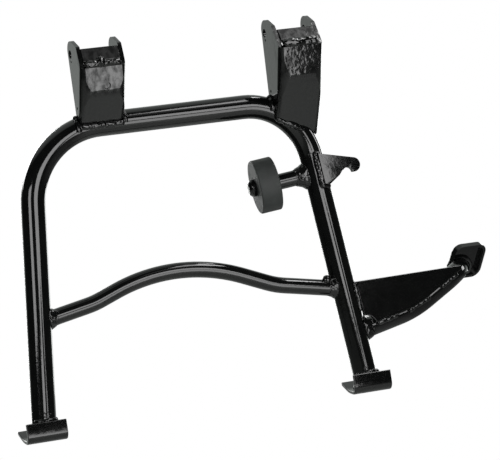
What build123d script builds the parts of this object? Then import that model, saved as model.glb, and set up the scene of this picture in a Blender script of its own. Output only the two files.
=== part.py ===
from build123d import *
import math
import os

# Motorcycle centre stand, welded from bent steel tube, folded sheet and plate.
# Millimetres. X runs along the pivot axis, Y points to the back of the stand, Z points up.
# The origin is on the pivot axis, halfway between the two pivot brackets.

# Joints between welded pieces
root_gap = 0.1            # air left between two pieces at a weld root

# Main hoop
tube_od = 24.0
tube_wall = 2.5
corner_spacing = 281.6    # between the corners where the leg lines meet the top bar line
foot_spacing = 341.0      # between the leg lines at the ground
leg_height = 298.0        # from the ground line to the top bar line
hoop_left_bend = 79.0     # bend radii on the tube's centre line
hoop_right_bend = 65.0
hoop_shift = -31.5        # middle of the hoop from the middle of the pivots
hoop_back = 17.0          # hoop plane behind the pivot axis
bar_drop = 69.5           # top bar line below the pivot axis

# Cross brace, heights from the ground line and places from the hoop's middle
brace_od = 16.0
brace_wall = 2.0
brace_left_height = 113.4
brace_right_height = 103.8
brace_knee_left = (-101.0, 124.6)
brace_crown = (-10.6, 158.5)
brace_knee_right = (88.0, 117.3)
brace_knee_bend = 90.0
brace_crown_bend = 180.0

# Pivot brackets, folded from sheet
sheet = 4.0
bracket_width = 46.5
bracket_spacing = 203.6   # between the middles of the two brackets
fold_radius = 5.0         # outer radius of the folds along the web
pinch_radius = 12.0       # outer radius that the folds widen to at the crease
crease_radius = 14.0      # radius of the bends across the web
pivot_hole = 8.5
pin_hole = 2.6            # small hole under each pivot hole
pin_hole_drop = 7.2
rig_hole = 3.0            # small hole low in each side wall
ear_back = 7.5            # back edge of the ears behind the pivot axis
ear_front = 21.5          # where the sloping top meets the front edge, before the axis
ear_front_top = 4.0
ear_slope = 28.0          # slope of the top edge in degrees
ear_radius = 10.0
ear_foot_inset = 2.0      # foot of the front edge behind the web's face
scallop_radius = 3.0
lean_depth = 62.0          # drop over which the back edge leans

# Side views of the two brackets, as places behind and above the pivot axis
left_web_top = (-28.5, -18.5)
left_crease = (-22.5, -43.0)
left_skirt = (0.5, -66.0)
left_pinch = ((-22.4, -17.7), (-0.8, -56.1))
left_web_lap = 5.5        # lower edge of the web below the top bar line
left_rig_hole = (2.5, -53.0)
left_back_lean = 2.0      # how far the back edge leans back
right_web_top = (-37.0, -20.5)
right_crease = (-29.5, -49.5)
right_skirt = (1.0, -90.0)
right_pinch = ((-30.6, -19.0), (-6.2, -69.4))
right_web_lap_inner = 15.5
right_web_lap_outer = 37.5
right_rig_hole = (6.0, -58.0)
right_back_lean = 6.0

# Stop plates between the ears
stop_height = 15.0
stop_thick = 5.0
left_stop_lean = 16.0     # degrees from upright
right_stop_lean = 32.0
left_stop_top = (-21.7, 2.3)
right_stop_top = (-24.5, 0.1)
stop_edge_radius = 1.6

# Feet
foot_length = 40.5
foot_sheet = 3.2
foot_wall = 19.0          # height of the front wall
left_foot_drop = 0.8      # shoes below the ground line
right_foot_drop = 2.3
foot_bend = 8.0
foot_heel = (5.0, 1.5)    # bend in the sole, behind the leg line and above the ground line
foot_tip = (21.0, 9.5)
foot_toe_drop = 2.0

# Bumper
bumper_drop = 74.8        # from the top bar line to where its axis leaves the right leg's line
bumper_od = 54.4
bumper_thick = 21.4
bumper_turn = 9.5         # degrees that the pin points back out of the hoop's plane
bumper_reach = 42.0       # leg line to the near face of the rubber
bumper_edge = 1.5
stub_od = 16.0
neck_od = 12.0
pin_head_od = 17.5
pin_head_long = 7.2
rubber_clearance = 0.1

# Spring hook on the right leg, places outside the leg's line and below the top bar line
hook_plate = 5.0
hook_edge = 1.3           # plate's inner edge outside the leg's line
hook_top = 56.5
hook_bottom = 87.6
hook_nose = (35.92, 72.0)
hook_nose_radius = 7.3
hook_seat = (27.91, 79.2)
hook_seat_radius = 5.2
hook_throat = (18.86, 80.7)
hook_heel = (5.82, 89.1)

# Foot lever, places outside the right leg at the ground, behind the hoop and above the ground line
lever_od = 20.0
lever_wall = 2.5
lever_back = 3.0
lever_root_height = 58.3
lever_knee = (62.5, 73.2)
lever_elbow = (118.0, 104.5)
lever_knee_bend = 120.0
lever_elbow_bend = 34.0
pad_centre = (138.1, 25.0, 115.8)
pad_weld_point = (131.5, 28.5, 110.2)
pad_length = 39.2
pad_width = 39.6
pad_corner = 10.0
pad_skin = 3.0
pad_rim = 4.5             # depth of the turned rim
pad_tilt = 52.5           # degrees that the tread leans back from facing up
pad_turn = 12.0           # degrees of turn in the tread's plane

# Gusset between the right leg and the lever
gusset_thick = 4.0
gusset_top = 109.0
gusset_rise = 1.2         # of the top edge from the leg to the pad
gusset_end = 116.5
gusset_lap = 2.5          # its lower edge above the lever's centre line
gusset_scallop = 11.0

# Weld beads
bead = 3.0
# Fillets round a branch: height along it, spread up and down the leg, spread across, shift up
brace_flare = (6.5, 6.5, 1.5, 3.4)
bumper_flare = (11.0, 10.5, 2.0, -1.2)
lever_flare = (9.0, 10.0, 1.5, 4.5)
left_tacks = ((-2.0, 5.0),)               # places from the middle of the stop plate, and radii
right_tacks = ((-9.5, 4.2), (8.0, 4.2))
stitches = ((-42.0, -24.0), (-6.0, 14.0), (32.0, 48.0))    # starts and ends from the lever's knee

# Room that cuts run out into
room = 160.0

# Derived places
tube_r = tube_od / 2
ground = -bar_drop - leg_height
splay = math.degrees(math.atan2((foot_spacing - corner_spacing) / 2, leg_height))


def at(x, z, y=0.0):
    """Point given from the hoop's middle, its plane and the ground line."""
    return Vector(hoop_shift + x, hoop_back + y, ground + z)


def leg_line(height, side=1):
    """Distance of a leg's centre line from the hoop's middle, at a height."""
    return side * (foot_spacing / 2 - height * math.tan(math.radians(splay)))


def off_foot(out, z, y=0.0):
    """Point given from the right leg's line at the ground."""
    return at(foot_spacing / 2 + out, z, y)


def beside_leg(out, drop):
    """Place outside the right leg's line and below the top bar line."""
    height = leg_height - drop
    return leg_line(height) + out, height


def facing(y=0.0):
    """Drawing plane of the hoop, seen from the front, at a distance behind it."""
    return Plane(origin=at(0, 0, y), x_dir=(1, 0, 0), z_dir=(0, -1, 0))


def sideways(x, y=0.0, z=0.0):
    """Drawing plane square to the pivot axis, with Y across and Z up."""
    return Plane(origin=(x, y, z), x_dir=(0, 1, 0), z_dir=(1, 0, 0))


def bent_path(points, radii):
    """Wire through points, with an arc of the given radius at each inner point."""
    points = [Vector(*p) if isinstance(p, tuple) else p for p in points]
    edges = []
    start = points[0]
    for before, corner, after, radius in zip(points, points[1:], points[2:], radii):
        back = (before - corner).normalized()
        ahead = (after - corner).normalized()
        half = math.radians(back.get_angle(ahead)) / 2
        first = corner + back * (radius / math.tan(half))
        last = corner + ahead * (radius / math.tan(half))
        inward = (back + ahead).normalized()
        middle = corner + inward * (radius / math.sin(half) - radius)
        edges.append(Edge.make_line(start, first))
        edges.append(Edge.make_three_point_arc(first, middle, last))
        start = last
    edges.append(Edge.make_line(start, points[-1]))
    return Wire(edges)


def rod(path, diameter):
    """Solid round bar along a path."""
    start = Plane(origin=path @ 0, z_dir=path % 0)
    return sweep(start * Circle(diameter / 2), path=path)


def pipe(path, diameter, wall):
    """Round tube along a path."""
    return rod(path, diameter) - rod(path, diameter - 2 * wall)


def capsule(start, end, radius):
    """Weld bead with round ends."""
    length = (end - start).length
    place = Plane(origin=start, z_dir=end - start)
    body = Cylinder(radius, length, align=(Align.CENTER, Align.CENTER, Align.MIN))
    return place * (body + Sphere(radius) + Pos(0, 0, length) * Sphere(radius))


def flared_weld(place, radius, flare):
    """Fillet weld round a branch that leaves a main tube along the plane's normal."""
    rise, along, across, lift = flare
    levels = [
        (tube_r + rise, radius, radius, 0),
        (tube_r + rise * 0.35, radius + along * 0.28, radius + across * 0.6, lift * 0.3),
        (tube_r * 2 / 3, radius + along, radius + across, lift),
    ]
    rings = [place.offset(level) * Pos(shift, 0) * Ellipse(x_r, y_r) for level, x_r, y_r, shift in levels]
    return loft(rings)


# Main hoop and cross brace


def hoop_path():
    corners = [
        at(leg_line(-10, -1), -10),
        at(-corner_spacing / 2, leg_height),
        at(corner_spacing / 2, leg_height),
        at(leg_line(-10), -10),
    ]
    return bent_path(corners, [hoop_left_bend, hoop_right_bend])


def hoop_core():
    """Space that the hoop takes up, for fitting other pieces to it."""
    return rod(hoop_path(), tube_od + 2 * root_gap)


def make_main_hoop():
    hoop = pipe(hoop_path(), tube_od, tube_wall)
    for side in (-1, 1):
        hoop -= shoe_block(side, foot_sheet + root_gap)
    return hoop


def brace_path():
    points = [
        at(leg_line(brace_left_height, -1), brace_left_height),
        at(*brace_knee_left),
        at(*brace_crown),
        at(*brace_knee_right),
        at(leg_line(brace_right_height), brace_right_height),
    ]
    return bent_path(points, [brace_knee_bend, brace_crown_bend, brace_knee_bend])


def make_cross_brace():
    return pipe(brace_path(), brace_od, brace_wall) - hoop_core()


def make_brace_weld(side):
    path = brace_path()
    end = 0 if side < 0 else 1
    direction = (path % 0) if side < 0 else (path % 1) * -1
    place = Plane(origin=path @ end, x_dir=(0, 0, 1), z_dir=direction)
    weld = flared_weld(place, brace_od / 2, brace_flare)
    return weld - hoop_core() - rod(path, brace_od)


# Feet


def foot_drop(side):
    return left_foot_drop if side < 0 else right_foot_drop


def shoe_block(side, growth=0.0):
    """Space outside a foot's curved sheet, grown by the sheet's thickness."""
    front = -(tube_r + root_gap + foot_sheet)
    slope = (foot_tip[1] - foot_heel[1]) / (foot_tip[0] - foot_heel[0])
    far = (60.0, foot_heel[1] + slope * (60.0 - foot_heel[0]))
    outline = FilletPolyline(
        (front, 60),
        (front, -foot_toe_drop),
        foot_heel,
        far,
        (60, -60),
        (-60, -60),
        (-60, 60),
        radius=[0, foot_bend, 40, 0, 0, 0, 0],
        close=True,
    )
    face = make_face(outline)
    if growth:
        face = offset(face, amount=growth, kind=Kind.INTERSECTION)
    middle = at(leg_line(0, side), -foot_drop(side))
    place = sideways(middle.X - foot_length / 2, middle.Y, middle.Z)
    return extrude(place * face, amount=foot_length)


def make_foot(side):
    front = tube_r + root_gap + foot_sheet
    middle = at(leg_line(0, side), -foot_drop(side))
    depth = front + foot_tip[0]
    height = foot_wall + 10
    place = Pos(middle.X, middle.Y + foot_tip[0] - depth / 2, middle.Z + foot_wall - height / 2)
    keep = place * Box(foot_length, depth, height)
    return (shoe_block(side, foot_sheet) - shoe_block(side)) & keep


def make_foot_weld(side, foot):
    """Front bead over the wall's top edge, and back bead where the tube meets the sole."""
    hoop = hoop_core()
    height = foot_wall - foot_drop(side) + 0.5
    front = Plane(origin=at(leg_line(height, side), height), x_dir=(0, -1, 0), z_dir=(0, 0, 1))
    arc = CenterArc((0, 0), tube_r + 0.6, -55, 110)
    front_bead = rod(Wire([(front * arc).edge()]), 2 * 2.4)
    slope = math.atan2(foot_tip[1] - foot_heel[1], foot_tip[0] - foot_heel[0])
    rise = foot_heel[1] + foot_sheet / math.cos(slope) - foot_heel[0] * math.tan(slope) - foot_drop(side)
    tilt = Vector(0, math.cos(slope), math.sin(slope))
    normal = Vector(0, -math.sin(slope), math.cos(slope))
    back = Plane(origin=at(leg_line(rise, side), rise + 0.6), x_dir=tilt, z_dir=normal)
    arc = CenterArc((0, 0), tube_r + 1.6, -75, 150)
    back_bead = rod(Wire([(back * arc).edge()]), 2 * 2.2)
    return (front_bead - hoop - foot) + (back_bead - hoop - foot)


# Pivot brackets


def bracket_channel(x_left, web_top, crease, skirt, pinch):
    """Folded U channel, longer than needed on every side but its web."""
    high = room / 5
    deep = room / 4
    lean = (crease[0] - web_top[0]) / (web_top[1] - crease[1])
    top = (web_top[0] - lean * (high - web_top[1]), high)
    slope = (skirt[0] - crease[0]) / (crease[1] - skirt[1])
    toe = (deep, crease[1] - (deep - crease[0]) / slope)
    front = FilletPolyline(top, crease, toe, radius=crease_radius)
    rim = Polyline(toe, (deep, high), top)
    outer_face = make_face(front.edges() + rim.edges())
    inner_face = offset(outer_face, amount=-sheet, kind=Kind.INTERSECTION)

    def folded(face, left, width, radius):
        body = extrude(sideways(left) * face, amount=width)
        folds = []
        for x in (left, left + width):
            for edge in body.edges():
                box = edge.bounding_box()
                on_side = abs(box.min.X - x) < 1e-3 and box.size.X < 1e-3
                on_rim = box.min.Y > deep - 2 * sheet or box.min.Z > high - 2 * sheet
                if on_side and not on_rim:
                    folds.append(edge)
        return fillet(folds, radius)

    outer = folded(outer_face, x_left, bracket_width, fold_radius)
    inner = folded(inner_face, x_left + sheet, bracket_width - 2 * sheet, fold_radius - sheet)
    for outward in (-1, 1):
        outer -= pinch_cut(x_left + bracket_width / 2, outward, pinch, pinch_radius)
        inner -= pinch_cut(x_left + bracket_width / 2, outward, pinch, pinch_radius - sheet)
    return outer - inner


def pinch_cut(middle, outward, line, radius):
    """Corner outside the long round that a fold widens to at the crease."""
    (top_y, top_z), (low_y, low_z) = line
    top = Vector(middle + outward * (bracket_width / 2 - pinch_radius), top_y, top_z)
    run = Vector(0, low_y - top_y, low_z - top_z)
    place = Plane(origin=top, x_dir=(outward, 0, 0), z_dir=run)
    forward = 1 if place.y_dir.Y < 0 else -1
    side = Align.MIN if forward > 0 else Align.MAX
    block = Box(radius + 2, 2 * radius, run.length, align=(Align.MIN, side, Align.MIN))
    round_bar = Cylinder(radius, run.length + 20)
    return place * (block - Pos(0, 0, run.length / 2) * round_bar)


def ear_outline(back_lean, web_top):
    """Side view of a bracket: ears above, side walls and web below."""
    rise = math.tan(math.radians(ear_slope)) * (ear_front + ear_back)
    return make_face(
        FilletPolyline(
            (ear_back + back_lean, -lean_depth),
            (ear_back, 0),
            (ear_back, ear_front_top + rise),
            (-ear_front, ear_front_top),
            (web_top[0] + ear_foot_inset, web_top[1]),
            (-room, web_top[1]),
            (-room, -room),
            (ear_back + back_lean, -room),
            radius=[0, 0, ear_radius, 3, scallop_radius, 0, 0, 0],
            close=True,
        )
    )


def web_ends(side):
    """Heights of the web's lower corners, the left one first."""
    if side < 0:
        return -bar_drop - left_web_lap, -bar_drop - left_web_lap
    return -bar_drop - right_web_lap_inner, -bar_drop - right_web_lap_outer


def make_bracket(side):
    middle = side * bracket_spacing / 2
    x_left = middle - bracket_width / 2
    x_right = middle + bracket_width / 2
    left = side < 0
    web_top = left_web_top if left else right_web_top
    crease = left_crease if left else right_crease
    skirt = left_skirt if left else right_skirt
    pinch = left_pinch if left else right_pinch
    lean = left_back_lean if left else right_back_lean
    rig = left_rig_hole if left else right_rig_hole
    inner_end, outer_end = web_ends(side)

    body = bracket_channel(x_left, web_top, crease, skirt, pinch)
    body &= extrude(sideways(x_left) * ear_outline(lean, web_top), amount=bracket_width)
    slope = (outer_end - inner_end) / bracket_width
    below = Polyline(
        (x_left - sheet, inner_end - slope * sheet),
        (x_right + sheet, outer_end + slope * sheet),
        (x_right + sheet, -2 * room),
        (x_left - sheet, -2 * room),
        close=True,
    )
    front = Plane(origin=(0, -room, 0), x_dir=(1, 0, 0), z_dir=(0, -1, 0))
    body -= extrude(front * make_face(below), amount=-2 * room)
    for y, z, size in ((0, 0, pivot_hole), (0, -pin_hole_drop, pin_hole), (*rig, rig_hole)):
        drill = Cylinder(size / 2, bracket_width + 2)
        body -= Pos(middle, y, z) * Rot(0, 90, 0) * drill
    body -= hoop_core()
    return largest(body)


def largest(shape):
    """The biggest solid of a shape, without loose offcuts."""
    return shape.solids().sort_by(SortBy.VOLUME)[-1]


def make_stop_plate(side):
    middle = side * bracket_spacing / 2
    width = bracket_width - 2 * sheet - 2 * root_gap
    lean = left_stop_lean if side < 0 else right_stop_lean
    top = left_stop_top if side < 0 else right_stop_top
    outline = Rectangle(stop_thick, stop_height, align=(Align.MIN, Align.MAX))
    outline = fillet(outline.vertices(), stop_edge_radius)
    place = sideways(middle - width / 2, *top)
    return extrude(place * (Rot(0, 0, -lean) * outline), amount=width)


def make_stop_weld(side, bracket, plate):
    """Rough bead between the stop plate and the top of the web, with raised tacks."""
    middle = side * bracket_spacing / 2
    half = bracket_width / 2 - sheet
    lean = math.radians(left_stop_lean if side < 0 else right_stop_lean)
    top = left_stop_top if side < 0 else right_stop_top
    web_top = left_web_top if side < 0 else right_web_top
    low_y = top[0] - stop_height * math.sin(lean)
    low_z = top[1] - stop_height * math.cos(lean)
    size = (low_z - web_top[1]) / 2 + 0.9
    y = (low_y + web_top[0]) / 2 + 0.6
    z = (low_z + web_top[1]) / 2
    ends = [Vector(middle + s * (half - size), y, z) for s in (-1, 1)]
    weld = capsule(ends[0], ends[1], size)
    for x, tack in left_tacks if side < 0 else right_tacks:
        weld += Pos(middle + x, y - 0.4, z + 1.4) * Sphere(tack)
    return largest(weld - bracket - plate)


def make_bracket_weld(side, bracket):
    """Beads under the web's lower edge and where the side walls meet the hoop."""
    left = side < 0
    x_left = side * bracket_spacing / 2 - bracket_width / 2
    x_right = x_left + bracket_width
    skirt = left_skirt if left else right_skirt
    inner_end, outer_end = web_ends(side)

    crease = left_crease if left else right_crease
    slope = (skirt[0] - crease[0]) / (crease[1] - skirt[1])
    front = hoop_back - tube_r
    meet = crease[1] - (front - crease[0]) / slope

    if left:
        ends = [Vector(x, front - bead * 0.1, meet - bead * 0.3) for x in (x_left + bead, x_right - bead)]
        weld = capsule(ends[0], ends[1], bead)
    else:
        share = (inner_end - meet) / (inner_end - outer_end)
        first = Vector(x_left + bead * 0.8, front - bead * 0.6, inner_end - bead * 0.5)
        second = Vector(x_left + share * bracket_width, front, meet - bead * 0.5)
        third = Vector(x_right - bead * 0.6, hoop_back - bead * 1.4, outer_end - bead * 0.4)
        fourth = Vector(x_right - bead * 0.3, hoop_back + bead, outer_end - bead * 0.9)
        weld = capsule(first, second, bead * 1.1) + capsule(second, third, bead * 0.9)
        weld += capsule(third, fourth, bead * 0.9)
    weld = weld - hoop_core() - bracket
    weld += wall_bead(x_left - bead / 3, 65) - hoop_core() - bracket
    if left:
        weld += wall_bead(x_right + bead / 3, 100) - hoop_core() - bracket
    return weld


def wall_bead(x, end):
    """Bead round the hoop, square to the pivot axis, from its front up to an angle."""
    centre, run = hoop_centre(x)
    across = tube_r + bead / 5
    upright = across / abs(run.X)
    points = []
    for angle in (-10, end / 2 - 5, end):
        turn = math.radians(angle)
        points.append(centre + Vector(0, -across * math.cos(turn), upright * math.sin(turn)))
    return rod(Wire([Edge.make_three_point_arc(*points)]), 2 * bead * 0.88)


def hoop_centre(x):
    """Point and direction of the hoop's centre line in its upper half, at a given X."""
    path = hoop_path()
    low, high = (0.2, 0.5) if x < hoop_shift else (0.8, 0.5)
    for _ in range(40):
        mid = (low + high) / 2
        outside = abs((path @ mid).X - hoop_shift) > abs(x - hoop_shift)
        low, high = (mid, high) if outside else (low, mid)
    share = (low + high) / 2
    return path @ share, path % share


# Bumper


def bumper_axis():
    """Plane on the right leg's line, with its normal along the bumper's pin."""
    tilt = math.radians(splay)
    turn = math.radians(bumper_turn)
    back = Vector(0, math.sin(turn), 0)
    inward = Vector(-math.cos(tilt), 0, -math.sin(tilt)) * math.cos(turn) + back
    along_leg = Vector(-math.sin(tilt), 0, math.cos(tilt))
    return Plane(origin=at(*beside_leg(0, bumper_drop)), x_dir=along_leg, z_dir=inward)


def turned(outline):
    """Round piece from half of its section, with radius across and length up."""
    return revolve(Plane.XZ * make_face(outline), axis=Axis.Z)


def make_bumper_pin():
    end = bumper_reach + bumper_thick
    top = end + pin_head_long
    section = FilletPolyline(
        (0, 0),
        (stub_od / 2, 0),
        (stub_od / 2, bumper_reach),
        (neck_od / 2, bumper_reach),
        (neck_od / 2, end),
        (pin_head_od / 2, end),
        (pin_head_od / 2, top - 3),
        (pin_head_od / 2 - 3, top),
        (0, top),
        radius=[0, 0, 0.8, 0, 0, 0.8, 2.5, 2.5, 0],
        close=True,
    )
    return bumper_axis() * turned(section) - hoop_core()


def make_rubber_bumper():
    low = bumper_reach + rubber_clearance
    high = bumper_reach + bumper_thick - rubber_clearance
    inner = neck_od / 2 + rubber_clearance
    section = FilletPolyline(
        (inner, low),
        (bumper_od / 2, low),
        (bumper_od / 2, high),
        (inner, high),
        radius=[0, bumper_edge, bumper_edge, 0],
        close=True,
    )
    return bumper_axis() * turned(section)


def make_bumper_pin_weld(pin):
    weld = flared_weld(bumper_axis(), stub_od / 2, bumper_flare)
    return weld - hoop_core() - pin


# Spring hook


def make_spring_hook():
    nose_x, nose_z = beside_leg(*hook_nose)
    seat_x, seat_z = beside_leg(*hook_seat)
    body = make_face(
        Polyline(
            beside_leg(hook_edge, hook_top),
            (nose_x + 0.2 * hook_nose_radius, nose_z + 0.98 * hook_nose_radius),
            (nose_x, nose_z - 0.96 * hook_nose_radius),
            (seat_x - 0.96 * hook_seat_radius, seat_z + 0.62 * hook_seat_radius),
            beside_leg(*hook_throat),
            beside_leg(*hook_heel),
            beside_leg(hook_edge, hook_bottom),
            close=True,
        )
    )
    body += Pos(nose_x, nose_z) * Circle(hook_nose_radius)
    body -= Pos(seat_x, seat_z) * Circle(hook_seat_radius)
    return extrude(facing(-tube_r - root_gap) * body, amount=hook_plate)


def make_spring_hook_weld(hook):
    """Bead down the plate's inner edge and under its lower corner."""
    y = -tube_r - bead / 2
    inner = hook_edge - bead / 2
    top = at(*beside_leg(inner, hook_top + bead / 6), y)
    low = at(*beside_leg(inner, hook_bottom + bead / 4), y)
    corner = at(*beside_leg(hook_edge + bead * 1.4, hook_bottom + bead * 0.7), y + bead * 0.4)
    weld = capsule(top, low, bead * 1.2) + capsule(low, corner, bead)
    return weld - hook - hoop_core()


# Foot lever


def lever_path():
    root = at(leg_line(lever_root_height), lever_root_height, lever_back)
    knee = off_foot(*lever_knee, lever_back)
    elbow = off_foot(*lever_elbow, lever_back)
    x, y, z = pad_weld_point
    end = off_foot(x, z, y)
    beyond = end + (end - elbow).normalized() * 14
    return bent_path([root, knee, elbow, beyond], [lever_knee_bend, lever_elbow_bend])


def pad_plane():
    """Plane on the underside of the tread pad, facing its tread side."""
    x, y, z = pad_centre
    tilt = math.radians(pad_tilt)
    plane = Plane(origin=off_foot(x, z, y), x_dir=(1, 0, 0), z_dir=(0, math.sin(tilt), math.cos(tilt)))
    return plane.rotated((0, 0, pad_turn))


def beyond_pad(gap):
    """Space on the tread side of the pad's underside."""
    return pad_plane().offset(-gap) * Box(90, 90, 60, align=(Align.CENTER, Align.CENTER, Align.MIN))


def make_lever_tube():
    return largest(pipe(lever_path(), lever_od, lever_wall) - hoop_core() - beyond_pad(root_gap))


def make_tread_pad():
    body = RectangleRounded(pad_width, pad_length, pad_corner)
    hollow = RectangleRounded(pad_width - 2 * pad_skin, pad_length - 2 * pad_skin, pad_corner - pad_skin)
    pad = extrude(body, amount=pad_skin + pad_rim)
    pad = fillet(pad.faces().sort_by(Axis.Z)[-1].edges(), 2.0)
    pad -= extrude(hollow, amount=pad_rim)
    pad = pad_plane().offset(-pad_rim) * pad
    return pad - (rod(lever_path(), lever_od + 2 * root_gap) - beyond_pad(0))


def make_tread_pad_weld(lever, pad):
    x, y, z = pad_weld_point
    plane = pad_plane()
    run = (lever_path() % 1)
    normal = plane.z_dir
    flat = run - normal * run.dot(normal)
    cosine = run.dot(normal)
    place = Plane(origin=off_foot(x, z, y), x_dir=flat, z_dir=normal)
    shift = (plane.origin - place.origin).dot(normal)
    place = place.offset(shift - 0.8)
    centre = place.origin + flat * (shift / cosine)
    place = Plane(origin=centre, x_dir=flat, z_dir=normal)
    ring = place * Ellipse(lever_od / 2 / cosine + 0.8, lever_od / 2 + 0.8)
    weld = rod(Wire(ring.edges()), 2 * 2.4)
    return weld - lever - pad - rod(lever_path(), lever_od)


def make_lever_tube_weld(gusset):
    path = lever_path()
    place = Plane(origin=path @ 0, x_dir=(0, 0, 1), z_dir=path % 0)
    weld = flared_weld(place, lever_od / 2, lever_flare)
    return largest(weld - hoop_core() - rod(path, lever_od) - gusset)


def gusset_lower_edge():
    """Corner and end of the gusset's lower edge, a lap above the lever's line."""
    knee_x, knee_z = foot_spacing / 2 + lever_knee[0], lever_knee[1]
    elbow_x, elbow_z = foot_spacing / 2 + lever_elbow[0], lever_elbow[1]
    root_x, root_z = leg_line(lever_root_height), lever_root_height
    first = math.atan2(knee_z - root_z, knee_x - root_x)
    second = math.atan2(elbow_z - knee_z, elbow_x - knee_x)
    mean = (first + second) / 2
    reach = gusset_lap / math.cos((second - first) / 2)
    knee = (knee_x - reach * math.sin(mean), knee_z + reach * math.cos(mean))
    return knee, first, second


def make_lever_gusset():
    lap = lever_od / 2 - lever_back
    edge = math.sqrt((tube_r + root_gap) ** 2 - lap ** 2)
    knee, first, second = gusset_lower_edge()
    left_top = leg_line(gusset_top) + edge
    end_x = foot_spacing / 2 + gusset_end
    end = (end_x, knee[1] + (end_x - knee[0]) * math.tan(second))
    far_top = (end_x, gusset_top + gusset_rise)
    base_x = leg_line(lever_root_height) + edge
    base_z = knee[1] - (knee[0] - base_x) * math.tan(first)
    outline = FilletPolyline(
        (left_top, gusset_top),
        far_top,
        end,
        knee,
        (base_x, base_z),
        radius=[0, 1, 1, lever_knee_bend, 0],
        close=True,
    )
    body = make_face(outline)
    body -= Pos(base_x, base_z) * Circle(gusset_scallop)
    return extrude(facing(-lap - root_gap) * body, amount=gusset_thick)


def make_gusset_leg_weld(gusset):
    lap = lever_od / 2 - lever_back
    edge = math.sqrt((tube_r + root_gap) ** 2 - lap ** 2)
    low_height = lever_root_height + gusset_scallop + 4 * bead
    inset = edge - bead / 2
    top = at(leg_line(gusset_top) + inset, gusset_top - bead * 0.8, -lap - bead * 0.7)
    low = at(leg_line(low_height) + inset, low_height, -lap - bead * 0.7)
    return capsule(top, low, bead) - gusset - hoop_core()


def make_gusset_tube_welds(gusset):
    """Three stitches along the gusset's lower edge."""
    lap = lever_od / 2 - lever_back
    knee, first, second = gusset_lower_edge()
    tube = rod(lever_path(), lever_od)
    welds = []
    for start, finish in stitches:
        ends = []
        for run in (start, finish):
            slope = first if run < 0 else second
            drop = bead / 3
            ends.append(at(knee[0] + run, knee[1] + run * math.tan(slope) - drop, -lap - bead / 2))
        welds.append(capsule(ends[0], ends[1], bead) - gusset - tube)
    return Compound(children=welds)


bracket_left = make_bracket(-1)
bracket_right = make_bracket(1)
stop_left = make_stop_plate(-1)
stop_right = make_stop_plate(1)
foot_left = make_foot(-1)
foot_right = make_foot(1)
pin = make_bumper_pin()
hook = make_spring_hook()
lever = make_lever_tube()
pad = make_tread_pad()
gusset = make_lever_gusset()

nodes = {
    "main_hoop": make_main_hoop(),
    "cross_brace": make_cross_brace(),
    "left_bracket": bracket_left,
    "right_bracket": bracket_right,
    "left_stop_plate": stop_left,
    "right_stop_plate": stop_right,
    "left_foot": foot_left,
    "right_foot": foot_right,
    "bumper_pin": pin,
    "rubber_bumper": make_rubber_bumper(),
    "spring_hook": hook,
    "lever_tube": lever,
    "lever_gusset": gusset,
    "tread_pad": pad,
    "left_bracket_weld": make_bracket_weld(-1, bracket_left),
    "right_bracket_weld": make_bracket_weld(1, bracket_right),
    "left_stop_weld": make_stop_weld(-1, bracket_left, stop_left),
    "right_stop_weld": make_stop_weld(1, bracket_right, stop_right),
    "left_foot_weld": make_foot_weld(-1, foot_left),
    "right_foot_weld": make_foot_weld(1, foot_right),
    "brace_left_weld": make_brace_weld(-1),
    "brace_right_weld": make_brace_weld(1),
    "bumper_pin_weld": make_bumper_pin_weld(pin),
    "spring_hook_weld": make_spring_hook_weld(hook),
    "lever_tube_weld": make_lever_tube_weld(gusset),
    "gusset_leg_weld": make_gusset_leg_weld(gusset),
    "gusset_tube_welds": make_gusset_tube_welds(gusset),
    "tread_pad_weld": make_tread_pad_weld(lever, pad),
}

os.makedirs("parts", exist_ok=True)
for name, shape in nodes.items():
    export_step(shape, f"parts/{name}.step")
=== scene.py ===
import bmesh
import bpy
import math
from mathutils import Matrix, Vector, noise


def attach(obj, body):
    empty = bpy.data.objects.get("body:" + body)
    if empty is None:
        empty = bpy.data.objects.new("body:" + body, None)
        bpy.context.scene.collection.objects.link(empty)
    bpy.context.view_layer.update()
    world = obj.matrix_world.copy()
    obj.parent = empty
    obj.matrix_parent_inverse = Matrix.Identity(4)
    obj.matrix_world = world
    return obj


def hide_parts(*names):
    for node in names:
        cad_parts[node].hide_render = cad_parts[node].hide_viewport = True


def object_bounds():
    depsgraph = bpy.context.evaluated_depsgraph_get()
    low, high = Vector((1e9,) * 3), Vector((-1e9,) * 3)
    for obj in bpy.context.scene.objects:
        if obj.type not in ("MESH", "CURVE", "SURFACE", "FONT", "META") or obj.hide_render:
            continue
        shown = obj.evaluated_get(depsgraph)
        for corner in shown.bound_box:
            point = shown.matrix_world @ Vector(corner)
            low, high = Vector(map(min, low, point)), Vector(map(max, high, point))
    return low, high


# Looks of a motorcycle centre stand: gloss black paint over welded steel, and a rubber stop.
# Metres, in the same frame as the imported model: X along the pivot axis, Y to the back, Z up.

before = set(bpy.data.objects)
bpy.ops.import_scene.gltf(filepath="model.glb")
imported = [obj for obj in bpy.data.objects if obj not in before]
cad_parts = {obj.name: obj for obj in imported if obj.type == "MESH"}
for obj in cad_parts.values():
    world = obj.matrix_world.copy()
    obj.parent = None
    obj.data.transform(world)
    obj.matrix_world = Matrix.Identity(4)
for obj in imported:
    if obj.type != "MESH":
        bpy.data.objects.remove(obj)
cad_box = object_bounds()

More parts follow.
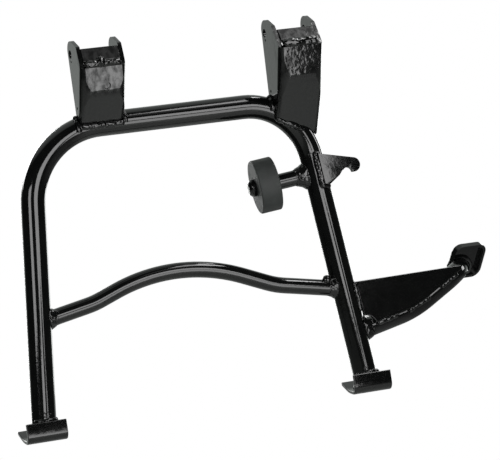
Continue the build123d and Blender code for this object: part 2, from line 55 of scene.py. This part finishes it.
# Paint and surface
paint_tone = 0.0022                # darkest shade of the black enamel
scuff_heights = (-0.052, -0.044)   # Z where scuffs on the webs begin, and where they are full
scuff_fronts = (-0.018, -0.023)    # the same in Y, in front of the pivot axis
edge_round = 0.0007                # bevel on cut and folded plate
edge_sharp = math.radians(28)      # edges that turn by more than this are rounded
bead_grid = 0.0006                 # weld beads are rebuilt with faces of about this size
plain_lumps = (0.0014, 1.25)       # height of the lumps on a bead, and how far they are stretched
stop_lumps = (0.0019, 1.7)         # the same on the beads of the stop plates

# Left leg, for the spatter on it
hoop_plane = 0.017                 # Y of the hoop's middle plane
tube_radius = 0.012
leg_mark = (-0.1995, -0.2798)      # X and Z of a point on the leg's outer highlight
leg_slope = 0.0913                 # sideways run of the leg for each metre up
highlight_aside = 0.0100           # from that highlight to the leg's centre line

# Studio
floor_drop = 0.70                  # floor below the stand's lowest point
floor_reach = 6.0                  # half the floor's width
front_wall = -3.0                  # Y of the far lamps in front
near_wall = -1.38                  # Y of the near lamps in front
ceiling = 1.8                      # Z of the lamps above
stand_middle = (0.03, 0.0, -0.15)


# Node helpers


def new_material(name):
    """A material with a principled shader: the material, its node tree and the shader."""
    mat = bpy.data.materials.new(name)
    mat.use_nodes = True
    tree = mat.node_tree
    tree.nodes.clear()
    out = tree.nodes.new("ShaderNodeOutputMaterial")
    shader = tree.nodes.new("ShaderNodeBsdfPrincipled")
    shader.inputs["IOR"].default_value = 1.5
    tree.links.new(shader.outputs["BSDF"], out.inputs["Surface"])
    return mat, tree, shader


def place_coords(tree, scale=(1, 1, 1)):
    """Object coordinates in metres, stretched by a scale."""
    coords = tree.nodes.new("ShaderNodeTexCoord")
    mapping = tree.nodes.new("ShaderNodeMapping")
    mapping.inputs["Scale"].default_value = scale
    tree.links.new(coords.outputs["Object"], mapping.inputs["Vector"])
    return mapping.outputs["Vector"]


def axes(tree, vector):
    """The X, Y and Z values of a vector."""
    split = tree.nodes.new("ShaderNodeSeparateXYZ")
    tree.links.new(vector, split.inputs[0])
    return split.outputs["X"], split.outputs["Y"], split.outputs["Z"]


def clouds(tree, vector, scale, detail=2.0, rough=0.5):
    """Noise from 0 to 1, finer with a larger scale."""
    node = tree.nodes.new("ShaderNodeTexNoise")
    node.inputs["Scale"].default_value = scale
    node.inputs["Detail"].default_value = detail
    node.inputs["Roughness"].default_value = rough
    tree.links.new(vector, node.inputs["Vector"])
    return node.outputs["Fac"]


def ramp(tree, value, stops):
    """Colour ramp from (place, colour) pairs."""
    node = tree.nodes.new("ShaderNodeValToRGB")
    elements = node.color_ramp.elements
    elements[0].position, elements[0].color = stops[0][0], (*stops[0][1], 1)
    elements[1].position, elements[1].color = stops[-1][0], (*stops[-1][1], 1)
    for place, colour in stops[1:-1]:
        element = elements.new(place)
        element.color = (*colour, 1)
    tree.links.new(value, node.inputs["Fac"])
    return node.outputs["Color"]


def levels(tree, value, low, high, to_low, to_high, easing="LINEAR"):
    """A value moved from one range to another, and held at its ends."""
    node = tree.nodes.new("ShaderNodeMapRange")
    node.interpolation_type = easing
    node.inputs["From Min"].default_value = low
    node.inputs["From Max"].default_value = high
    node.inputs["To Min"].default_value = to_low
    node.inputs["To Max"].default_value = to_high
    tree.links.new(value, node.inputs["Value"])
    return node.outputs["Result"]


def combine(tree, operation, first, second):
    """Two values put together, where each is a number or another node's output."""
    node = tree.nodes.new("ShaderNodeMath")
    node.operation = operation
    for value, socket in zip((first, second), node.inputs):
        if isinstance(value, float):
            socket.default_value = value
        else:
            tree.links.new(value, socket)
    return node.outputs[0]


def bump(tree, height, strength, distance, under=None):
    """Surface relief, laid over an earlier one where that is given."""
    node = tree.nodes.new("ShaderNodeBump")
    node.inputs["Strength"].default_value = strength
    node.inputs["Distance"].default_value = distance
    tree.links.new(height, node.inputs["Height"])
    if under is not None:
        tree.links.new(under, node.inputs["Normal"])
    return node.outputs["Normal"]


# Paint and rubber


def black_paint(name, gloss, peel, ripple, scuffed=False):
    """Stove enamel: nearly black and glossy, with orange peel in it, and rubbed dull in spots if scuffed."""
    mat, tree, shader = new_material(name)
    vector = place_coords(tree)
    dark = tuple(paint_tone * k for k in (0.95, 1.0, 1.0))
    pale = tuple(paint_tone * 1.7 * k for k in (0.97, 1.03, 1.0))
    tone = clouds(tree, vector, 60.0, detail=3.0)
    tree.links.new(ramp(tree, tone, [(0.35, dark), (0.75, pale)]), shader.inputs["Base Color"])
    patches = clouds(tree, vector, 140.0, detail=4.0, rough=0.6)
    rough = levels(tree, patches, 0.3, 0.75, gloss * 0.8, gloss * 1.35)
    tree.links.new(rough, shader.inputs["Roughness"])
    wave = clouds(tree, vector, 260.0, detail=1.5, rough=0.4)
    fine = clouds(tree, vector, 900.0)
    normal = bump(tree, wave, ripple, 0.0003)
    normal = bump(tree, fine, peel, 0.00008, under=normal)
    tree.links.new(normal, shader.inputs["Normal"])
    if scuffed:
        _, along, up = axes(tree, vector)
        near_top = levels(tree, up, *scuff_heights, 0.0, 1.0)
        in_front = levels(tree, along, *scuff_fronts, 0.0, 1.0)
        spots = clouds(tree, place_coords(tree, (1, 1, 0.6)), 170.0, detail=3.0, rough=0.6)
        rubbed = combine(tree, "MULTIPLY", levels(tree, spots, 0.38, 0.62, 0.0, 0.42), near_top)
        worn = combine(tree, "MULTIPLY", rubbed, in_front)
        tree.links.new(combine(tree, "SUBTRACT", 0.62, worn), shader.inputs["Specular IOR Level"])
    return mat


def rubber(name):
    """Moulded rubber, dull charcoal, with a fine grain and pale bloom."""
    mat, tree, shader = new_material(name)
    vector = place_coords(tree)
    shades = [
        (0.3, (0.017, 0.0195, 0.0185)),
        (0.6, (0.024, 0.027, 0.026)),
        (0.85, (0.036, 0.04, 0.038)),
    ]
    bloom = clouds(tree, vector, 90.0, detail=4.0, rough=0.6)
    tree.links.new(ramp(tree, bloom, shades), shader.inputs["Base Color"])
    tree.links.new(levels(tree, bloom, 0.3, 0.8, 0.55, 0.72), shader.inputs["Roughness"])
    marks = clouds(tree, vector, 220.0)
    grain = clouds(tree, vector, 1500.0, detail=3.0, rough=0.6)
    normal = bump(tree, marks, 0.25, 0.0003)
    normal = bump(tree, grain, 0.35, 0.0001, under=normal)
    tree.links.new(normal, shader.inputs["Normal"])
    return mat


tube_paint = black_paint("tube_paint", gloss=0.07, peel=0.05, ripple=0.08)
sheet_paint = black_paint("sheet_paint", gloss=0.055, peel=0.02, ripple=0.05)
web_paint = black_paint("web_paint", gloss=0.06, peel=0.05, ripple=0.3, scuffed=True)
bead_paint = black_paint("bead_paint", gloss=0.06, peel=0.0, ripple=0.1)
pin_paint = black_paint("pin_paint", gloss=0.08, peel=0.05, ripple=0.1)
stop_rubber = rubber("stop_rubber")

plate_finishes = {
    "left_bracket": web_paint,
    "right_bracket": web_paint,
    "left_stop_plate": web_paint,
    "right_stop_plate": web_paint,
    "left_foot": sheet_paint,
    "right_foot": sheet_paint,
    "spring_hook": sheet_paint,
    "lever_gusset": sheet_paint,
    "tread_pad": sheet_paint,
}
finishes = {"bumper_pin": pin_paint, "rubber_bumper": stop_rubber, **plate_finishes}
for name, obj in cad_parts.items():
    for slot in obj.material_slots:
        slot.material = finishes.get(name, tube_paint)


# Pieces


def new_object(name, data):
    """An object in the scene for a mesh, a lamp or a camera."""
    obj = bpy.data.objects.new(name, data)
    bpy.context.collection.objects.link(obj)
    return obj


def dress(piece, material, node=None):
    """Smooth and paint a piece of the stand, which may be shown in place of a node."""
    piece.data.materials.clear()
    piece.data.materials.append(material)
    for face in piece.data.polygons:
        face.use_smooth = True
    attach(piece, "root")
    if node:
        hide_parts(node)


# Sheet parts, with the worn edges of cut and painted plate


def soft_edges(node, material):
    """A copy of a node with its sharp edges rounded off by a fraction of a millimetre."""
    work = bmesh.new()
    work.from_mesh(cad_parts[node].data)
    bmesh.ops.remove_doubles(work, verts=work.verts, dist=0.00002)
    bmesh.ops.dissolve_limit(work, angle_limit=math.radians(0.6), verts=work.verts, edges=work.edges)
    sharp = [edge for edge in work.edges if edge.is_manifold and edge.calc_face_angle() > edge_sharp]
    bmesh.ops.bevel(work, geom=sharp, offset=edge_round, offset_type="OFFSET", segments=2, profile=0.5,
                    affect="EDGES", clamp_overlap=True)
    bmesh.ops.triangulate(work, faces=work.faces)
    mesh = bpy.data.meshes.new(node + "_edged")
    work.to_mesh(mesh)
    work.free()
    piece = new_object(node + "_edged", mesh)
    dress(piece, material, node)
    mesh.set_sharp_from_angle(angle=math.radians(40))
    flat = piece.modifiers.new("flat", "WEIGHTED_NORMAL")
    flat.weight = 100
    flat.keep_sharp = True


for name, material in plate_finishes.items():
    soft_edges(name, material)


# Weld beads, with the lumps and ripples of hand welding


def rebuild(piece):
    """Give a piece a skin of small, even faces."""
    remesh = piece.modifiers.new("even", "REMESH")
    remesh.mode = "VOXEL"
    remesh.voxel_size = bead_grid
    bpy.context.view_layer.update()
    depsgraph = bpy.context.evaluated_depsgraph_get()
    even = bpy.data.meshes.new_from_object(piece.evaluated_get(depsgraph))
    piece.modifiers.clear()
    piece.data = even


def rough_bead(node, lumps, seed):
    """A copy of a weld with lumps of a height and stretch, kept inside the box of the model."""
    height, stretch = lumps
    piece = new_object(node + "_bead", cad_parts[node].data.copy())
    rebuild(piece)
    vertices = piece.data.vertices
    shift = Vector((seed, seed * 1.7, -seed))
    moves = []
    for vertex in vertices:
        coarse = noise.noise(vertex.co * 170 / stretch + shift)
        ridge = 0.5 - abs(noise.noise(vertex.co * 330 / stretch - shift))
        moves.append(vertex.normal * height * (0.55 * coarse + 0.5 * ridge - 0.12))
    for vertex, move in zip(vertices, moves):
        vertex.co += move
        for axis in range(3):
            vertex.co[axis] = min(max(vertex.co[axis], cad_box[0][axis]), cad_box[1][axis])
    dress(piece, bead_paint, node)


beads = sorted(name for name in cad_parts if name.endswith(("_weld", "_welds")))
for number, name in enumerate(beads):
    lumps = stop_lumps if "stop" in name else plain_lumps
    rough_bead(name, lumps, seed=number * 3.1)


# Spatter and runs in the paint


def paint_nibs(name, nibs):
    """Small blisters, each a ball half sunk in the painted steel."""
    work = bmesh.new()
    for place, radius in nibs:
        spot = Matrix.Translation(Vector(place))
        bmesh.ops.create_icosphere(work, subdivisions=2, radius=radius, matrix=spot)
    mesh = bpy.data.meshes.new(name)
    work.to_mesh(mesh)
    work.free()
    dress(new_object(name, mesh), bead_paint)


def on_left_leg(height, aside):
    """A place on the front of the left leg, so far to the right of its outer highlight."""
    highlight = leg_mark[0] + leg_slope * (height - leg_mark[1])
    forward = math.sqrt(tube_radius ** 2 - (aside - highlight_aside) ** 2) * 0.995
    return highlight + aside, hoop_plane - forward, height


spatter = []
for number in range(12):
    height = -0.303 - 0.0023 * number
    aside = 0.0022 + 0.0012 * math.sin(number * 2.3)
    spatter.append((on_left_leg(height, aside), 0.00034 + 0.0001 * (number % 3)))
blobs = [(-0.3405, 0.0068), (-0.3425, 0.0092), (-0.3440, 0.0080), (-0.3465, 0.0074)]
for number, (height, aside) in enumerate(blobs):
    spatter.append((on_left_leg(height, aside), 0.0008 + 0.0002 * (number % 2)))
paint_nibs("left_leg_spatter", spatter)
paint_nibs("brace_right_lobe", [
    ((0.1106, 0.0140, -0.2527), 0.0052),
    ((0.1075, 0.0142, -0.2562), 0.0044),
])


# Curls of weld, and the crescent that a tool left in the left bracket


def tapered_arcs(name, arcs):
    """Ridges along parts of circles, thin at both ends: centre, facing, radius, thickness, start, sweep."""
    points = []
    faces = []
    steps = 26
    sides = 8
    for centre, facing, radius, thick, start, sweep in arcs:
        out = Vector(facing).normalized()
        across = Vector((0, 0, 1)).cross(out).normalized()
        upward = out.cross(across)
        first = len(points)
        for step in range(steps + 1):
            turn = math.radians(start + sweep * step / steps)
            radial = across * math.cos(turn) + upward * math.sin(turn)
            width = thick * (0.35 + 0.65 * math.sin(math.pi * step / steps))
            for side in range(sides):
                around = 2 * math.pi * side / sides
                place = Vector(centre) + radial * (radius + width * math.cos(around))
                points.append(place + out * width * math.sin(around))
        for step in range(steps):
            low = first + step * sides
            for side in range(sides):
                after = (side + 1) % sides
                faces.append((low + side, low + after, low + sides + after, low + sides + side))
        last = first + steps * sides
        faces.append(tuple(first + side for side in reversed(range(sides))))
        faces.append(tuple(last + side for side in range(sides)))
    mesh = bpy.data.meshes.new(name)
    mesh.from_pydata(points, [], faces)
    work = bmesh.new()
    work.from_mesh(mesh)
    bmesh.ops.recalc_face_normals(work, faces=work.faces)
    work.to_mesh(mesh)
    work.free()
    dress(new_object(name, mesh), bead_paint)


tapered_arcs("left_bracket_crescent", [
    ((-0.0998, -0.0239, -0.0365), (0.0, -0.97, -0.24), 0.0032, 0.0009, -150, 210),
])
tapered_arcs("weld_curls", [
    # Right end of the brace
    ((0.1154, 0.0084, -0.2560), (-0.25, -0.88, 0.30), 0.0034, 0.0012, -60, 300),
    ((0.1148, 0.0080, -0.2564), (-0.25, -0.88, 0.30), 0.0013, 0.0009, 90, 240),
    # Root of the bumper pin
    ((0.0998, 0.0101, -0.1475), (-0.30, -0.95, -0.05), 0.0029, 0.0011, 30, 290),
    ((0.1000, 0.0103, -0.1478), (-0.30, -0.95, -0.05), 0.0010, 0.0006, 0, 220),
    ((0.1107, 0.0061, -0.1269), (-0.29, -0.96, -0.04), 0.0024, 0.0007, -40, 280),
    # Left end of the brace
    ((-0.1780, 0.0077, -0.2502), (0.17, -0.98, 0.11), 0.0032, 0.0011, 160, 200),
    ((-0.1745, 0.0085, -0.2475), (0.10, -0.92, 0.35), 0.0026, 0.0007, 10, 170),
    # Low on the right leg and on the left
    ((0.1345, 0.0049, -0.3470), (-0.19, -0.98, 0.0), 0.0021, 0.0008, -30, 250),
    ((-0.2012, 0.0052, -0.3425), (-0.10, -0.99, 0.0), 0.0024, 0.0007, 200, 120),
    ((-0.2030, 0.0055, -0.3428), (-0.20, -0.98, 0.0), 0.0024, 0.0007, -20, 120),
    # Under the left stop plate
    ((-0.1050, -0.0298, -0.0105), (0.0, -0.85, 0.53), 0.0023, 0.0009, -60, 280),
])


# Floor and world


def stage_floor():
    """Matt floor with painted shade that darkens it to the right, and plain white to the camera."""
    low = cad_box[0][2] - floor_drop
    corners = [
        (-floor_reach, -floor_reach, low),
        (floor_reach, -floor_reach, low),
        (floor_reach, floor_reach, low),
        (-floor_reach, floor_reach, low),
    ]
    mesh = bpy.data.meshes.new("floor")
    mesh.from_pydata(corners, [], [(0, 1, 2, 3)])
    mat = bpy.data.materials.new("floor")
    mat.use_nodes = True
    tree = mat.node_tree
    tree.nodes.clear()
    out = tree.nodes.new("ShaderNodeOutputMaterial")
    matt = tree.nodes.new("ShaderNodeBsdfDiffuse")
    glow = tree.nodes.new("ShaderNodeEmission")
    rays = tree.nodes.new("ShaderNodeLightPath")
    mix = tree.nodes.new("ShaderNodeMixShader")
    across, _, _ = axes(tree, place_coords(tree))
    # Painted shade: the floor's colour darkens towards +X, standing in for light falling off on that side as
    # the paint reflects it.
    painted_shade = levels(tree, across, 0.45, 0.95, 0.0, 1.0)
    tone = ramp(tree, painted_shade, [(0.0, (0.52, 0.53, 0.52)), (1.0, (0.2, 0.2, 0.2))])
    tree.links.new(tone, matt.inputs["Color"])
    tree.links.new(rays.outputs["Is Camera Ray"], mix.inputs["Fac"])
    tree.links.new(matt.outputs[0], mix.inputs[1])
    tree.links.new(glow.outputs[0], mix.inputs[2])
    tree.links.new(mix.outputs[0], out.inputs["Surface"])
    mesh.materials.append(mat)
    new_object("floor", mesh)


def toward(tree, direction, start, end, level):
    """Brightness that grows from 0 to a level as rays turn to a direction."""
    coords = tree.nodes.new("ShaderNodeTexCoord")
    dot = tree.nodes.new("ShaderNodeVectorMath")
    dot.operation = "DOT_PRODUCT"
    dot.inputs[1].default_value = direction
    tree.links.new(coords.outputs["Generated"], dot.inputs[0])
    return levels(tree, dot.outputs["Value"], start, end, 0.0, level, "SMOOTHSTEP")


def studio_world():
    """White to the camera; to the paint, a dim room with a pale backdrop behind and a pale ceiling."""
    world = bpy.data.worlds.new("studio")
    bpy.context.scene.world = world
    world.use_nodes = True
    tree = world.node_tree
    tree.nodes.clear()
    out = tree.nodes.new("ShaderNodeOutputWorld")
    white = tree.nodes.new("ShaderNodeBackground")
    white.inputs["Color"].default_value = (1, 1, 1, 1)
    room = tree.nodes.new("ShaderNodeBackground")
    room.inputs["Color"].default_value = (0.94, 1.0, 0.96, 1)
    rays = tree.nodes.new("ShaderNodeLightPath")
    mix = tree.nodes.new("ShaderNodeMixShader")
    backdrop = toward(tree, (0.34, 0.94, 0.0), 0.55, 0.74, 0.68)
    overhead = toward(tree, (0.0, 0.35, 0.94), 0.7, 0.9, 0.6)
    lit = combine(tree, "MAXIMUM", backdrop, overhead)
    tree.links.new(combine(tree, "MAXIMUM", lit, 0.04), room.inputs["Strength"])
    tree.links.new(rays.outputs["Is Camera Ray"], mix.inputs["Fac"])
    tree.links.new(room.outputs[0], mix.inputs[1])
    tree.links.new(white.outputs[0], mix.inputs[2])
    tree.links.new(mix.outputs[0], out.inputs["Surface"])


stage_floor()
studio_world()


# Lamps


def softbox(name, centre, aim, width, height, radiance):
    """Rectangular lamp of one brightness over its face, hidden from the camera."""
    lamp = bpy.data.lights.new(name, "AREA")
    lamp.shape = "RECTANGLE"
    lamp.size = width
    lamp.size_y = height
    lamp.energy = radiance * math.pi * width * height
    back = (Vector(centre) - Vector(aim)).normalized()
    upright = Vector((0, 1, 0)) if abs(back.z) > 0.9 else Vector((0, 0, 1))
    across = upright.cross(back).normalized()
    turned = Matrix((across, back.cross(across), back)).transposed().to_4x4()
    obj = new_object(name, lamp)
    obj.matrix_world = Matrix.Translation(Vector(centre)) @ turned
    obj.visible_camera = False


def front_lamp(name, x, y, z, width, height, radiance):
    """Softbox before the stand that faces straight back."""
    softbox(name, (x, y, z), (x, 0.0, z), width, height, radiance)


def top_lamp(name, x, y, width, height, radiance):
    """Softbox at the ceiling that faces straight down."""
    softbox(name, (x, y, ceiling), (x, y, 0.0), width, height, radiance)


front_lamp("front_right", 0.435, front_wall, 0.315, 1.77, 0.87, 5.5)
front_lamp("front_mid", -0.45, front_wall, -0.285, 1.1, 0.33, 5.5)
front_lamp("front_step", 1.05, front_wall, -0.22, 0.4, 0.2, 5.5)
front_lamp("front_low", 0.355, near_wall, -0.695, 0.61, 0.61, 4.3)
front_lamp("front_sill", 0.46, near_wall, -0.362, 0.22, 0.056, 4.5)
softbox("front_left", (-2.3, -1.93, 0.54), (0.0, 0.0, 0.54), 1.2, 1.0, 5.5)
top_lamp("top_front", 1.0, -1.3, 0.6, 0.7, 6.0)
top_lamp("top_rear", 1.17, -0.27, 0.42, 1.36, 12.0)
top_lamp("top_dim", 0.86, -0.68, 0.2, 0.5, 1.9)
top_lamp("top_far", 0.8, -2.3, 0.7, 0.8, 0.5)
softbox("rear_right", (2.2, 2.2, 0.3), stand_middle, 0.6, 1.6, 6.0)
softbox("rear_left", (0.2, 3.1, 0.3), stand_middle, 0.4, 1.6, 6.0)
softbox("rear_high", (-0.9, 2.6, 1.0), stand_middle, 1.6, 0.7, 7.0)
softbox("side_right", (3.2, 0.2, 0.9), stand_middle, 0.7, 1.2, 6.0)


# Camera


def add_camera():
    """Camera at the photograph's angle: to the left of square on, a little low, and rolled."""
    yaw = math.radians(20.0)
    lift = math.radians(-2.314)
    roll = math.radians(-8.573)
    away = 2.8
    target = Vector((0.03853, 0.017, -0.19233))
    focal_pixels = 2807.475
    picture_width = 500.0
    sensor_width = 36.0
    look = Vector((math.sin(yaw) * math.cos(lift), math.cos(yaw) * math.cos(lift), -math.sin(lift)))
    right = look.cross(Vector((0, 0, 1))).normalized()
    up = right.cross(look)
    turned = right * math.cos(roll) + up * math.sin(roll)
    upward = up * math.cos(roll) - right * math.sin(roll)
    data = bpy.data.cameras.new("camera")
    data.sensor_width = sensor_width
    data.lens = sensor_width * focal_pixels / picture_width
    data.clip_end = 50.0
    camera = new_object("camera", data)
    place = Matrix((turned, upward, -look)).transposed().to_4x4()
    camera.matrix_world = Matrix.Translation(target - look * away) @ place
    bpy.context.scene.camera = camera


add_camera()
bpy.context.scene.view_settings.view_transform = "Standard"
